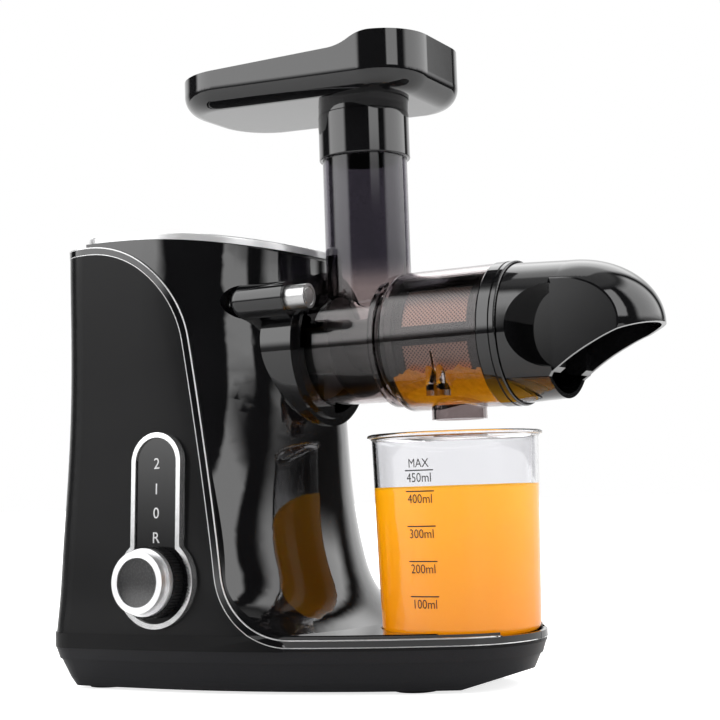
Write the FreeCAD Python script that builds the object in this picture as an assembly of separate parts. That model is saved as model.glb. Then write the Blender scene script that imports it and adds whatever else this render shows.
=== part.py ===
import FreeCAD, Part
import math
import os

V = FreeCAD.Vector

# Driving dimensions, in millimetres. X runs along the auger towards the pulp nose,
# -Y is the side with the control knob, and Z is up from the table. While modelling, the
# origin lies under the juice spout; save() moves it under the middle of the whole object.
SHIFT = V(49.35, 7.385, 0)
AUGER_Z = 178.5          # height of the auger axis
WALL = 3.0               # moulded housing wall

# Base pan and platform
FOOT_H = 1.4
STEP_Z = 16.3            # a step runs round the pan here
SEAM_Z = 22.5            # top of the base pan
PLATFORM_Z = 30.3
SEAT_Z = 27.3            # floor of the cup recess
SEAT_R = 41.8
BACK_X = -214.0
HALF_W = 78.0            # half width of the base
BACK_R = 18.0            # rounding of the rear corners in plan
SIDE_X = -150.0          # the sides start to close in here
FRONT_R = 43.6           # rounded front of the platform, about the cup axis
BOARD_Z = 24.0           # underside of the circuit board

# Motor body. Each section: height, rear X, half width, prow corner X, corner Y, prow X
BODY_SECTIONS = (
    (22.5, -213.8, 77.8, -66.0, 69.8, -30.0),
    (30.3, -213.6, 77.2, -70.0, 69.6, -47.0),
    (42.0, -213.0, 75.8, -87.0, 71.2, -60.0),
    (64.0, -212.2, 73.8, -98.5, 70.0, -69.7),
    (105.0, -210.4, 70.6, -106.0, 66.6, -74.5),
    (180.0, -208.4, 67.2, -116.0, 62.8, -77.0),
    (250.0, -208.2, 66.0, -121.5, 60.2, -78.0),
)
TOP_X = -188.0                # the top is an arc of TOP_R in side view, highest here
TOP_Z = 240.7
TOP_R = 557.0
RIM_H = 4.0
TOP_BACK_X = -195.0           # the upper deck stops short of the rear

# Swoosh: the edge between the satin side shells and the glossy core, seen from the side
SWOOSH_TOP_Z = 234.5
SWOOSH_TOP_X = -187.0
SWOOSH_R1 = 62.0
SWOOSH_LEAN = math.radians(9.8)
SWOOSH_R2 = 43.0
SWOOSH_BASE_Z = 24.2
STRIP_W = 4.2

# Control panel on the near side
PANEL = V(-138.5, -74.6, 57.3)
PANEL_TILT = 3.4
PANEL_SINK = 2.2         # the panel's parts are let into the shell by this
PILL_TOP = 77.8          # from the knob axis to the end of the pill
PILL_HALF = 15.7
DIAL_R = 24.1
BAND = 2.6               # width of the silver band

GLAND = (30.0, 40.0)     # Y and Z of the cord inlet at the back

# Feed tube, drum and spout
TUBE_X = -47.5
TUBE_R = 23.0
TUBE_BORE = 20.0
TUBE_TOP = 298.0
COLLAR_Z = (279.7, 303.8)
COLLAR_R = 24.75
NECK_R = 31.0
NECK_BORE = 28.8
NECK_BACK = -92.5
DRUM_R = 36.8
DRUM_BORE = 34.4
DRUM_LIP_R = 35.5        # the drum is stepped down under the lock ring
SHOULDER_X = (-24.0, -21.0)
DRUM_FRONT = 40.0
SPOUT_X = 3.5
SPOUT_R = 14.5
SPOUT_Z = 136.2

# Socket on the body that takes the drum
SOCKET_R = 42.0
SOCKET_X = (-104.0, -73.0)
LIP_R = 38.0
LIP_FRONT = -70.9
CHANNEL_R = 35.0
LUG_R = 34.4
DRUM_TURN = 45.0         # the drum turns this far, in degrees, before its lugs line up with the slots

# Release button
BUTTON_Y = -46.0
BUTTON_Z = AUGER_Z + 24.0
BUTTON_R = 6.5
BUTTON_FACE = -58.0
BUTTON_BACK = -88.0      # inner end of the button, where its spring bears
BARREL_R = 9.1
BARREL_X = (-104.0, -70.0)

# Gear train: module, pinion teeth, wheel teeth, low X, high X
STAGES = (
    (0.7, 12, 48, -146.0, -140.0),
    (1.0, 12, 48, -138.0, -130.0),
    (1.25, 13, 52, -128.0, -116.0),
)
PRESSURE = math.radians(25)
BACKLASH = 0.12
IDLER1_Y = 20.0
CASE_X = (-151.0, -112.0)
MOTOR_R = 30.0
MOTOR_X = (-199.0, -151.0)

# Hopper tray
TRAY_X = (-152.0, 0.0)
TRAY_HALF = 43.0
TRAY_TOP = 332.0
TRAY_HOOD = 338.0
TRAY_WALL = 2.6
TRAY_FLOOR = 307.0       # outer floor height at the front end
TRAY_SLOPE = 0.045

# Nose
RING_X = (31.2, 41.5)
RING_R = 37.3
NOSE_BACK = 42.0
NOSE_SHOULDER = 70.0
NOSE_TIP = 115.3
NOSE_BACK_R = 35.9
NOSE_BROW_R = 34.5       # radius at the shoulder
NOSE_WALL = 2.4
GRIP_X = 66.5            # straight edge of the D-shaped finger pockets
GRIP_Z = AUGER_Z + 0.3
GRIP_R = 20.6
GRIP_Y = 16.6            # their floor, from the middle
CHEEK_Y = 25.5           # the flat cheeks in front of them

# Cup
CUP_TOP = 129.5
CUP_FOOT_R = 41.0
CUP_RIM_R = 45.6
CUP_WALL = 1.8


def box(x0, x1, y0, y1, z0, z1):
    return Part.makeBox(x1 - x0, y1 - y0, z1 - z0, V(x0, y0, z0))


def cyl_x(r, x0, x1, y=0.0, z=AUGER_Z):
    return Part.makeCylinder(r, x1 - x0, V(x0, y, z), V(1, 0, 0))


def cyl_y(r, y0, y1, x, z):
    return Part.makeCylinder(r, y1 - y0, V(x, y0, z), V(0, 1, 0))


def cyl_z(r, z0, z1, x=0.0, y=0.0):
    return Part.makeCylinder(r, z1 - z0, V(x, y, z0), V(0, 0, 1))


def ring_x(r_out, r_in, x0, x1, y=0.0, z=AUGER_Z):
    return cyl_x(r_out, x0, x1, y, z).cut(cyl_x(r_in, x0 - 1, x1 + 1, y, z))


def ring_z(r_out, r_in, z0, z1, x=0.0, y=0.0):
    return cyl_z(r_out, z0, z1, x, y).cut(cyl_z(r_in, z0 - 1, z1 + 1, x, y))


def fuse(shapes):
    whole = shapes[0]
    if len(shapes) > 1:
        whole = whole.fuse(list(shapes[1:]))
    return whole.removeSplitter()


def prism_xz(points, y0, y1):
    wire = Part.makePolygon([V(x, y0, z) for x, z in points + points[:1]])
    return Part.Face(wire).extrude(V(0, y1 - y0, 0))


def polygon_x(corners, across, x0, x1, y=0.0, z=AUGER_Z):
    """A regular bar along X, measured across its flats."""
    r = across / 2.0 / math.cos(math.pi / corners)
    pts = []
    for i in range(corners + 1):
        a = math.tau * (i + 0.5) / corners
        pts.append(V(x0, y + r * math.cos(a), z + r * math.sin(a)))
    return Part.Face(Part.makePolygon(pts)).extrude(V(x1 - x0, 0, 0))


def arc3(a, b, c):
    return Part.Arc(a, b, c).toShape()


def line(a, b):
    return Part.LineSegment(a, b).toShape()


def corner_arc(x, y, r, a0, a1, z):
    pts = [V(x + r * math.cos(math.radians(a)), y + r * math.sin(math.radians(a)), z)
           for a in (a0, (a0 + a1) / 2.0, a1)]
    return arc3(*pts)


def rounded_plan(x0, x1, half, r_back, r_front, z, t=0.0):
    """A rectangle with rounded corners in plan, drawn in by t."""
    rb = r_back - t
    rf = r_front - t
    xb = x0 + r_back
    xf = x1 - r_front
    yb = half - r_back
    yf = half - r_front
    edges = [
        corner_arc(xb, -yb, rb, 180, 270, z),
        line(V(xb, -half + t, z), V(xf, -half + t, z)),
        corner_arc(xf, -yf, rf, 270, 360, z),
        line(V(x1 - t, -yf, z), V(x1 - t, yf, z)),
        corner_arc(xf, yf, rf, 0, 90, z),
        line(V(xf, half - t, z), V(xb, half - t, z)),
        corner_arc(xb, yb, rb, 90, 180, z),
        line(V(x0 + t, yb, z), V(x0 + t, -yb, z)),
    ]
    return Part.Wire(edges)


# Base pan, feet and platform

def base_plan(z, t=0.0):
    """Plan of the base: straight sides, then arcs that close in on the round front."""
    side_r = (SIDE_X ** 2 + HALF_W ** 2 - FRONT_R ** 2) / (2.0 * (HALF_W - FRONT_R))
    side_c = V(SIDE_X, side_r - HALF_W, 0)
    away = side_c.Length
    touch = V(-side_c.x, -side_c.y, 0) * (1.0 / away)
    tp = touch * (FRONT_R - t)
    near = [V(BACK_X + t, -(HALF_W - BACK_R), z), V(SIDE_X, -HALF_W + t, z), V(tp.x, tp.y, z)]
    mid_a = (-math.pi / 2.0 + math.atan2(tp.y - side_c.y, tp.x - side_c.x)) / 2.0
    mid = V(side_c.x + (side_r - t) * math.cos(mid_a), side_c.y + (side_r - t) * math.sin(mid_a), z)
    xb = BACK_X + BACK_R
    yb = HALF_W - BACK_R
    edges = [
        corner_arc(xb, -yb, BACK_R - t, 180, 270, z),
        line(V(xb, -HALF_W + t, z), near[1]),
        arc3(near[1], mid, near[2]),
        arc3(near[2], V(FRONT_R - t, 0, z), V(tp.x, -tp.y, z)),
        arc3(V(tp.x, -tp.y, z), V(mid.x, -mid.y, z), V(SIDE_X, HALF_W - t, z)),
        line(V(SIDE_X, HALF_W - t, z), V(xb, HALF_W - t, z)),
        corner_arc(xb, yb, BACK_R - t, 90, 180, z),
        line(V(BACK_X + t, yb, z), near[0]),
    ]
    return Part.Wire(edges)


def slab(plan, z0, z1, t=0.0):
    return Part.Face(plan(z0, t)).extrude(V(0, 0, z1 - z0))


FEET = ((-188.0, -52.0), (-188.0, 52.0), (-14.0, -26.0), (-14.0, 26.0))
SCREWS = ((-198.0, -30.0), (-198.0, 30.0), (-110.0, -60.0), (-110.0, 60.0), (-40.0, -44.0), (-40.0, 44.0))


def base_pan():
    lower = Part.makeLoft([base_plan(FOOT_H, 11.0), base_plan(6.0, 8.0), base_plan(STEP_Z, 3.2)], True, True)
    upper = Part.makeLoft([base_plan(STEP_Z, 2.4), base_plan(SEAM_Z, 0.4)], True, True)
    pan = fuse([lower, upper])
    pan = pan.cut(prism_xz([(60, 0), (60, 16.0), (8, 0)], -70, 70))
    inside = slab(base_plan, STEP_Z, SEAM_Z + 1, 5.4)
    low_inside = Part.makeLoft([base_plan(5.4, 11.5), base_plan(STEP_Z, 6.0)], True, True)
    low_inside = low_inside.cut(box(-6, 60, -70, 70, 0, STEP_Z))
    pan = pan.cut(inside).cut(low_inside)
    posts = [cyl_z(4.5, 5.0, SEAM_Z, x, y) for x, y in SCREWS]
    posts += [cyl_z(6.0, 5.0, 10.0, x, y) for x, y in FEET]
    posts += [cyl_z(3.0, 5.0, BOARD_Z - 0.05, x, y) for x in (-184.0, -136.0) for y in (-48.0, 0.0)]
    pan = pan.fuse(posts)
    holes = [cyl_z(1.7, 0, SEAM_Z + 1, x, y) for x, y in SCREWS]
    holes += [cyl_z(3.4, 0, 5.6, x, y) for x, y in SCREWS]
    holes += [cyl_z(3.1, 0, 8.5, x, y) for x, y in FEET]
    for row in range(9):
        y = -32.0 + 8.0 * row
        holes.append(box(-170.0, -130.0, y - 1.5, y + 1.5, 0, 6.5))
    return pan.cut(holes)


def rubber_feet():
    feet = []
    for x, y in FEET:
        pad = cyl_z(11.0, 0, FOOT_H, x, y)
        feet.append(pad.fuse(cyl_z(3.0, FOOT_H, 8.0, x, y)).removeSplitter())
    return Part.makeCompound(feet)


def base_screws():
    screws = []
    for x, y in SCREWS:
        head = cyl_z(3.1, 3.4, 5.6, x, y)
        shank = cyl_z(1.5, 5.6, 17.5, x, y)
        recess = Part.makeBox(3.6, 0.8, 1.2, V(x - 1.8, y - 0.4, 3.3))
        recess2 = Part.makeBox(0.8, 3.6, 1.2, V(x - 0.4, y - 1.8, 3.3))
        screws.append(head.fuse(shank).removeSplitter().cut([recess, recess2]))
    return Part.makeCompound(screws)


# Motor body: one outer form, cut into shells, trim and core

def side_arc(half, x1, y1, z, side):
    """The side of the body: from SIDE_X it bends in evenly to the corner (x1, y1)."""
    dx = x1 - SIDE_X
    dy = half - y1
    r = (dx * dx + dy * dy) / (2.0 * dy)
    turn = math.asin(dx / r) / 2.0
    mid = V(SIDE_X + r * math.sin(turn), side * (half - r * (1.0 - math.cos(turn))), z)
    return arc3(V(SIDE_X, side * half, z), mid, V(x1, side * y1, z))


def body_plan(z, back, half, cx, cy, prow, t):
    """Plan of the motor body at one height, drawn in by t: a bowed prow faces +X."""
    r = BACK_R - t
    xb = back + BACK_R
    yb = half - BACK_R
    ox = cx - 0.75 * t
    oy = cy - 0.95 * t
    sx = SIDE_X
    edges = [
        corner_arc(xb, -yb, r, 180, 270, z),
        line(V(xb, -half + t, z), V(sx, -half + t, z)),
        side_arc(half - t, ox, oy, z, -1),
        arc3(V(ox, -oy, z), V(prow - t, 0, z), V(ox, oy, z)),
        side_arc(half - t, ox, oy, z, 1),
        line(V(sx, half - t, z), V(xb, half - t, z)),
        corner_arc(xb, yb, r, 90, 180, z),
        line(V(back + t, yb, z), V(back + t, -yb, z)),
    ]
    return Part.Wire(edges)


def column(t):
    return Part.makeLoft([body_plan(*section, t) for section in BODY_SECTIONS], True, False)


def body_form(t):
    """The whole outside of the body above the pan, drawn in by t."""
    if t < 1.5:
        deck = slab(base_plan, SEAM_Z, PLATFORM_Z - t, t)
        return column(t).fuse(deck)
    low = slab(base_plan, SEAM_Z - 4, PLATFORM_Z - t, t)
    well = body_plan(15.0, *BODY_SECTIONS[0][1:], t)
    return column(t).fuse([low, Part.Face(well).extrude(V(0, 0, 8.0))])


def swoosh(d):
    """Side view of the shell edge, moved d towards the core: X, Z points and arcs."""
    y = -120.0
    top_z = SWOOSH_TOP_Z + d
    c1 = (SWOOSH_TOP_X, SWOOSH_TOP_Z - SWOOSH_R1)
    turn = math.pi / 2.0 - SWOOSH_LEAN
    r1 = SWOOSH_R1 + d

    def on1(a):
        return V(c1[0] + r1 * math.sin(a), y, c1[1] + r1 * math.cos(a))

    r2 = SWOOSH_R2 - d
    c2z = SWOOSH_BASE_Z + SWOOSH_R2
    # The straight lean runs from the upper arc to the lower arc, tangent to both
    ux = math.cos(SWOOSH_LEAN)
    uz = math.sin(SWOOSH_LEAN)
    p1x = c1[0] + SWOOSH_R1 * ux
    p1z = c1[1] + SWOOSH_R1 * uz
    run = (p1z - (c2z - SWOOSH_R2 * uz)) / ux
    c2x = p1x + run * uz + SWOOSH_R2 * ux

    def on2(a):
        return V(c2x - r2 * math.cos(a), y, c2z - r2 * math.sin(a))

    return [
        line(V(-240, y, top_z), V(c1[0], y, top_z)),
        arc3(on1(0), on1(turn / 2.0), on1(turn)),
        line(on1(turn), on2(SWOOSH_LEAN)),
        arc3(on2(SWOOSH_LEAN), on2((SWOOSH_LEAN + math.pi / 2.0) / 2.0), on2(math.pi / 2.0)),
        line(on2(math.pi / 2.0), V(70, y, SWOOSH_BASE_Z + d)),
    ]


def below_swoosh(d):
    """Everything below and behind the shell edge, as one thick prism."""
    edges = swoosh(d)
    y = -120.0
    z = SWOOSH_BASE_Z + d
    edges += [
        line(V(70, y, z), V(70, y, 0)),
        line(V(70, y, 0), V(-240, y, 0)),
        line(V(-240, y, 0), V(-240, y, SWOOSH_TOP_Z + d)),
    ]
    return Part.Face(Part.Wire(edges)).extrude(V(0, 240, 0))


def above_top(lift):
    """The space above the arched top of the body, raised by lift."""
    arch = cyl_y(TOP_R + lift, -130, 130, TOP_X, TOP_Z - TOP_R)
    return box(-260, 40, -120, 120, 200, 300).cut(arch)


def deck_plan(t):
    s = BODY_SECTIONS[-1]
    return body_plan(200.0, TOP_BACK_X, s[2] - 0.4, s[3], s[4], s[5], t)


def deck_prism(t):
    return Part.Face(deck_plan(t)).extrude(V(0, 0, 60))


SEAM_FRONT = 0.15
HALF_NEAR = box(-260, 80, -130, -SEAM_FRONT, 0, 300)
HALF_FAR = box(-260, 80, SEAM_FRONT, 130, 0, 300)


def side_shells():
    skin = body_form(0.0).cut(body_form(WALL)).common(below_swoosh(0.0))
    panel = panel_place(cyl_y(8.5, -40, 40, 0, 0))
    pocket = panel_place(pill_block(-0.05, 10.0))
    near = skin.common(HALF_NEAR).cut([panel, pocket])
    gland = cyl_x(7.2, -230, -190, *GLAND)
    far = skin.common(HALF_FAR).cut([gland])
    return near, far


def trim_strips():
    skin = body_form(-0.35).cut(body_form(WALL - 0.4))
    band = skin.common(below_swoosh(STRIP_W).cut(below_swoosh(0.1)))
    band = band.cut(slab(base_plan, SEAM_Z, PLATFORM_Z + 2, WALL + 0.2)).cut(cup_way())
    return band.common(HALF_NEAR), band.common(HALF_FAR)


def cup_way():
    """The round seat of the cup, with a low gap in its rim at the front."""
    seat = cyl_z(SEAT_R, SEAT_Z, SEAT_Z + 20)
    return seat.fuse(box(30, 60, -27, 27, SEAT_Z + 0.6, SEAT_Z + 20))


def core_housing():
    skin = body_form(0.5).cut(body_form(0.5 + WALL)).cut(below_swoosh(STRIP_W + 0.1))
    skin = skin.cut(box(-260, -188, -130, 130, 0, 300))
    platform = slab(base_plan, PLATFORM_Z - WALL, PLATFORM_Z - 0.2, WALL + 0.4)
    joint = column(0.5).common(slab(base_plan, PLATFORM_Z - WALL, 32, WALL + 0.4))
    platform = platform.fuse(joint).cut(column(0.5 + WALL))
    flanks = column(-0.5).cut(column(WALL + 0.1)).common(below_swoosh(STRIP_W + 0.1))
    platform = platform.cut(flanks.common(box(-260, -69, -130, 130, 0, 300)))
    above_strip = box(-260, 0, -130, 130, SWOOSH_TOP_Z + STRIP_W + 0.1, 300)
    upper = deck_prism(0.0).cut(deck_prism(WALL)).common(above_strip)
    ledge = column(WALL + 0.2).common(box(-260, -150, -130, 130, 236.0, 238.8))
    ledge = ledge.cut(deck_prism(WALL))
    core = fuse([skin, upper, ledge, platform]).cut(above_top(0.0))
    core = core.cut(cup_way())
    core = core.cut(cyl_x(SOCKET_R + 0.1, -125, -40))
    core = core.cut(cyl_x(BARREL_R + 0.1, -125, -60, BUTTON_Y, BUTTON_Z))
    return max(core.Solids, key=lambda s: s.Volume)


def top_trim_ring():
    ring = deck_prism(-0.4).cut(above_top(RIM_H)).common(above_top(0.0))
    crown = above_top(RIM_H - 0.2)
    level = [e for e in ring.Edges if abs(e.tangentAt(e.FirstParameter).z) < 0.5]
    upper = [e for e in level if crown.isInside(e.CenterOfMass, 0.01, True)]
    return ring.makeFillet(1.3, upper).cut(deck_prism(2.4))


def top_cover():
    plate = deck_prism(2.6).cut(above_top(RIM_H - 0.8)).common(above_top(RIM_H - 3.4))
    posts = []
    for x, y in ((-180, -40), (-180, 40), (-105, -30), (-105, 30)):
        posts.append(cyl_z(4.0, 215, 243, x, y).cut(above_top(RIM_H - 3.0)))
    return plate.fuse(posts).removeSplitter()


# Control panel. Its parts are drawn on the plane Y = 0 with the knob axis at the origin
# and the outside towards -Y, and then leaned onto the shell.

def panel_place(shape):
    moved = shape.copy()
    moved.rotate(V(0, 0, 0), V(1, 0, 0), -PANEL_TILT)
    moved.translate(PANEL)
    return moved


def pill_face(t):
    half = PILL_HALF - t
    r = DIAL_R - t
    top = PILL_TOP - PILL_HALF
    join_z = math.sqrt(r * r - half * half)
    edges = [
        line(V(-half, 0, join_z), V(-half, 0, top)),
        arc3(V(-half, 0, top), V(0, 0, top + half), V(half, 0, top)),
        line(V(half, 0, top), V(half, 0, join_z)),
        arc3(V(half, 0, join_z), V(0, 0, -r), V(-half, 0, join_z)),
    ]
    return Part.Face(Part.Wire(edges))


def pill_block(t, out):
    """The pill's outline as a block, from its seat in the shell to out."""
    face = pill_face(t)
    face.translate(V(0, PANEL_SINK, 0))
    return face.extrude(V(0, -out - PANEL_SINK, 0))


def control_bezel():
    return panel_place(pill_block(0.0, 2.4).cut(pill_block(BAND, 3.0)))


def control_plate():
    return panel_place(pill_block(BAND + 0.05, 1.2).cut(cyl_y(5.0, -4, 4, 0, 0)))


def knob_skirt():
    outer = cyl_y(18.0, -9.4, -1.6, 0, 0)
    ridges = []
    for i in range(60):
        a = math.tau * i / 60
        ridges.append(cyl_y(0.62, -9.4, -1.6, 18.0 * math.cos(a), 18.0 * math.sin(a)))
    hub = cyl_y(4.2, -1.6, 2.5, 0, 0)
    skirt = outer.fuse(ridges).fuse(hub)
    return panel_place(skirt.cut(polygon_y(3.1, -8.0, 3.0)))


def polygon_y(r, y0, y1):
    """A D-shaped bar along Y."""
    return cyl_y(r, y0, y1, 0, 0).cut(box(r * 0.6, r + 1, y0 - 1, y1 + 1, -r - 1, r + 1))


def knob_ring():
    step = cyl_y(17.4, -12.2, -9.4, 0, 0)
    front = cyl_y(16.0, -17.2, -12.2, 0, 0)
    return panel_place(step.fuse(front).removeSplitter().cut(cyl_y(12.6, -18, -9, 0, 0)))


def knob_cap():
    disc = cyl_y(12.5, -16.2, -9.4, 0, 0)
    dish = Part.makeSphere(60.0, V(0, -16.2 - 58.6, 0))
    return panel_place(disc.cut(dish))


def switch_parts():
    body = box(-12, 12, 6.5, 22, -12, 12).fuse(cyl_y(6.0, 4.6, 6.5, 0, 0)).removeSplitter()
    body = body.cut(cyl_y(3.3, 4, 14, 0, 0))
    for i in range(4):
        body = body.fuse(box(-9.5 + 5.5 * i, -7.5 + 5.5 * i, 22, 27, -0.4, 0.4))
    shaft = polygon_y(3.05, -7.8, 2.9).fuse(cyl_y(3.05, 2.9, 13.5, 0, 0)).removeSplitter()
    return panel_place(body), panel_place(shaft)


# Socket and release button

def socket_ring():
    barrel = cyl_x(SOCKET_R, *SOCKET_X).fuse(cyl_x(LIP_R, SOCKET_X[1], LIP_FRONT))
    cavity = cyl_x(CHANNEL_R, -93.5, -75.0)
    mouth = cyl_x(NECK_R + 0.4, -76.0, -60.0)
    ring = barrel.removeSplitter().cut([cavity, mouth, cyl_x(7.6, -110, -90)])
    ring = ring.cut(cyl_x(12.2, -101.0, -93.0))
    slots = []
    for i in range(3):
        slots.append(sector_x(CHANNEL_R, -76.0, -60.0, 90 - DRUM_TURN + 120 * i, 34))
    ring = ring.cut(slots)
    pin = pin_place()
    return ring.cut(cyl_x(2.4, -110, -90, pin[0], pin[1]))


def sector_x(r, x0, x1, mid_deg, width_deg):
    """A wedge of a disc about the auger axis."""
    a0 = math.radians(mid_deg - width_deg / 2.0)
    a1 = math.radians(mid_deg + width_deg / 2.0)
    am = (a0 + a1) / 2.0
    centre = V(x0, 0, AUGER_Z)
    p = [centre + V(0, r * math.cos(a), r * math.sin(a)) for a in (a0, am, a1)]
    face = Part.Face(Part.Wire([line(centre, p[0]), arc3(*p), line(p[2], centre)]))
    return face.extrude(V(x1 - x0, 0, 0))


def pin_place():
    """Where the lock pin lies: on the line from the auger axis to the button."""
    reach = math.hypot(BUTTON_Y, BUTTON_Z - AUGER_Z)
    return 30.0 * BUTTON_Y / reach, AUGER_Z + 30.0 * (BUTTON_Z - AUGER_Z) / reach


def button_housing():
    barrel = cyl_x(BARREL_R, *BARREL_X, BUTTON_Y, BUTTON_Z)
    back = [e for e in barrel.Edges if e.CenterOfMass.x < BARREL_X[0] + 0.1]
    barrel = barrel.makeFillet(6.0, back)
    web = box(-86.0, -74.0, 36.0, 50.0, -5.5, 5.5)
    web.rotate(V(0, 0, 0), V(1, 0, 0), math.degrees(math.atan2(BUTTON_Z - AUGER_Z, BUTTON_Y)))
    web.translate(V(0, 0, AUGER_Z))
    barrel = barrel.fuse(web).cut(cyl_x(SOCKET_R, -130, -60))
    barrel = barrel.cut(cyl_x(BUTTON_R + 0.4, -99.0, -60.0, BUTTON_Y, BUTTON_Z))
    return barrel.cut(cyl_x(2.9, -110.0, -98.0, BUTTON_Y, BUTTON_Z)).removeSplitter()


def release_button():
    cap = cyl_x(BUTTON_R, BUTTON_BACK, BUTTON_FACE, BUTTON_Y, BUTTON_Z)
    face = cyl_x(BUTTON_R - 1.4, BUTTON_FACE - 0.5, BUTTON_FACE + 1, BUTTON_Y, BUTTON_Z)
    boss = cyl_x(BUTTON_R - 2.2, BUTTON_FACE - 1, BUTTON_FACE, BUTTON_Y, BUTTON_Z)
    stem = cyl_x(2.5, -108.0, BUTTON_BACK, BUTTON_Y, BUTTON_Z)
    return cap.cut(face.cut(boss)).fuse(stem).removeSplitter()


def lock_pin():
    y, z = pin_place()
    pin = cyl_x(2.0, -106.0, NECK_BACK - 0.4, y, z)
    arm = box(-107.6, -105.6, 27.0, 55.0, -3.6, 3.6)
    arm.rotate(V(0, 0, 0), V(1, 0, 0), math.degrees(math.atan2(BUTTON_Z - AUGER_Z, BUTTON_Y)))
    arm.translate(V(0, 0, AUGER_Z))
    arm = arm.cut(cyl_x(2.5, -120, -90, BUTTON_Y, BUTTON_Z))
    return pin.fuse(arm).removeSplitter()


def button_spring():
    """Compression spring round the stem, one unbroken tube on a plain tube's space."""
    turns = 4.5
    x0 = -98.4
    x1 = BUTTON_BACK - 0.6
    r = 4.4
    wire_r = 0.45
    edges = []
    steps = int(turns * 4)
    rise = (x1 - x0) / steps

    def at(k):
        a = math.pi / 2.0 * k
        return V(x0 + rise * k, BUTTON_Y + r * math.cos(a), BUTTON_Z + r * math.sin(a))

    def heading(k):
        a = math.pi / 2.0 * k
        return V(rise, -r * math.pi / 2.0 * math.sin(a), r * math.pi / 2.0 * math.cos(a)).normalize()

    for k in range(steps):
        edges += biarc(at(k), heading(k), at(k + 1), heading(k + 1))
    least = min(a.distToShape(b)[0] for i, a in enumerate(edges) for b in edges[i + 6:])
    print("button_spring: least gap between turns %.2f mm" % (least - 2.0 * wire_r))
    path = Part.Wire(edges)
    ring = Part.Wire(Part.makeCircle(wire_r, at(0), heading(0)))
    return path.makePipeShell([ring], True, False)


def biarc(p0, t0, p1, t1):
    """Two arcs in a row, tangent to t0 at p0 and to t1 at p1."""
    chord = p1 - p0
    total = t0 + t1
    a = 2.0 * (1.0 - t0.dot(t1))
    b = chord.dot(total)
    d = (-b + math.sqrt(b * b + a * chord.dot(chord))) / a
    joint = (p0 + p1 + (t0 - t1) * d) * 0.5
    arcs = []
    for start, tangent, end in ((p0, t0, joint), (p1, t1 * -1.0, joint)):
        v = end - start
        n = v - tangent * v.dot(tangent)
        radius = v.dot(v) / (2.0 * n.Length)
        centre = start + n * (radius / n.Length)
        mid = ((start + end) * 0.5 - centre).normalize() * radius + centre
        arcs.append((start, mid, end))
    second = arcs[1]
    return [arc3(*arcs[0]), arc3(second[2], second[1], second[0])]


# Motor and gears

def gear_axes():
    m1, p1, w1 = STAGES[0][:3]
    m2, p2, w2 = STAGES[1][:3]
    m3, p3, w3 = STAGES[2][:3]
    z2 = AUGER_Z - m3 * (p3 + w3) / 2.0
    z1 = z2 - math.sqrt((m2 * (p2 + w2) / 2.0) ** 2 - IDLER1_Y ** 2)
    z0 = z1 - math.sqrt((m1 * (p1 + w1) / 2.0) ** 2 - IDLER1_Y ** 2)
    return {"motor": (0.0, z0), "first": (IDLER1_Y, z1), "second": (0.0, z2), "output": (0.0, AUGER_Z)}


AXES = gear_axes()


def involute(a):
    return math.tan(a) - a


def gear(module, teeth, x0, x1, centre, tooth_angle, bore):
    """A spur gear along X with one tooth centred on tooth_angle."""
    r = module * teeth / 2.0
    base = r * math.cos(PRESSURE)
    tip = r + module * 0.95
    root = r - module * 1.22
    half = math.pi / (2.0 * teeth) - BACKLASH / 2.0 / r + involute(PRESSURE)
    pts = []
    start = max(base, root)
    for i in range(teeth):
        mid = tooth_angle + math.tau * i / teeth
        side = []
        if root < base:
            side.append((root, half))
        for k in range(5):
            rad = start + (tip - start) * k / 4.0
            side.append((rad, half - involute(math.acos(min(1.0, base / rad)))))
        for rad, off in side:
            pts.append((rad, mid - off))
        for rad, off in reversed(side):
            pts.append((rad, mid + off))
    y, z = centre
    ring = [V(x0, y + rad * math.cos(a), z + rad * math.sin(a)) for rad, a in pts]
    ring.append(ring[0])
    body = Part.Face(Part.makePolygon(ring)).extrude(V(x1 - x0, 0, 0))
    if bore > 0:
        body = body.cut(cyl_x(bore, x0 - 1, x1 + 1, y, z))
    return body


def angle_between(a, b):
    return math.atan2(b[1] - a[1], b[0] - a[0])


def mesh_pair(stage, small, large, small_bore, large_bore):
    """A pinion and its wheel, in mesh: pinion tooth and wheel gap on the centre line."""
    module, pinion, wheel, x0, x1 = stage
    a = angle_between(AXES[small], AXES[large])
    first = gear(module, pinion, x0 - 0.6, x1 + 0.6, AXES[small], a, small_bore)
    second = gear(module, wheel, x0, x1, AXES[large], a + math.pi + math.pi / wheel, large_bore)
    return first, second


def web_holes(r, pitch_r, axis):
    """Six round holes that lighten a wheel's web."""
    y, z = AXES[axis]
    low, high = {"first": (-150, -139), "second": (-140, -129), "output": (-130, -115)}[axis]
    angles = [math.tau * i / 6 for i in range(6)]
    return [cyl_x(r, low, high, y + pitch_r * math.cos(a), z + pitch_r * math.sin(a)) for a in angles]


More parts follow.
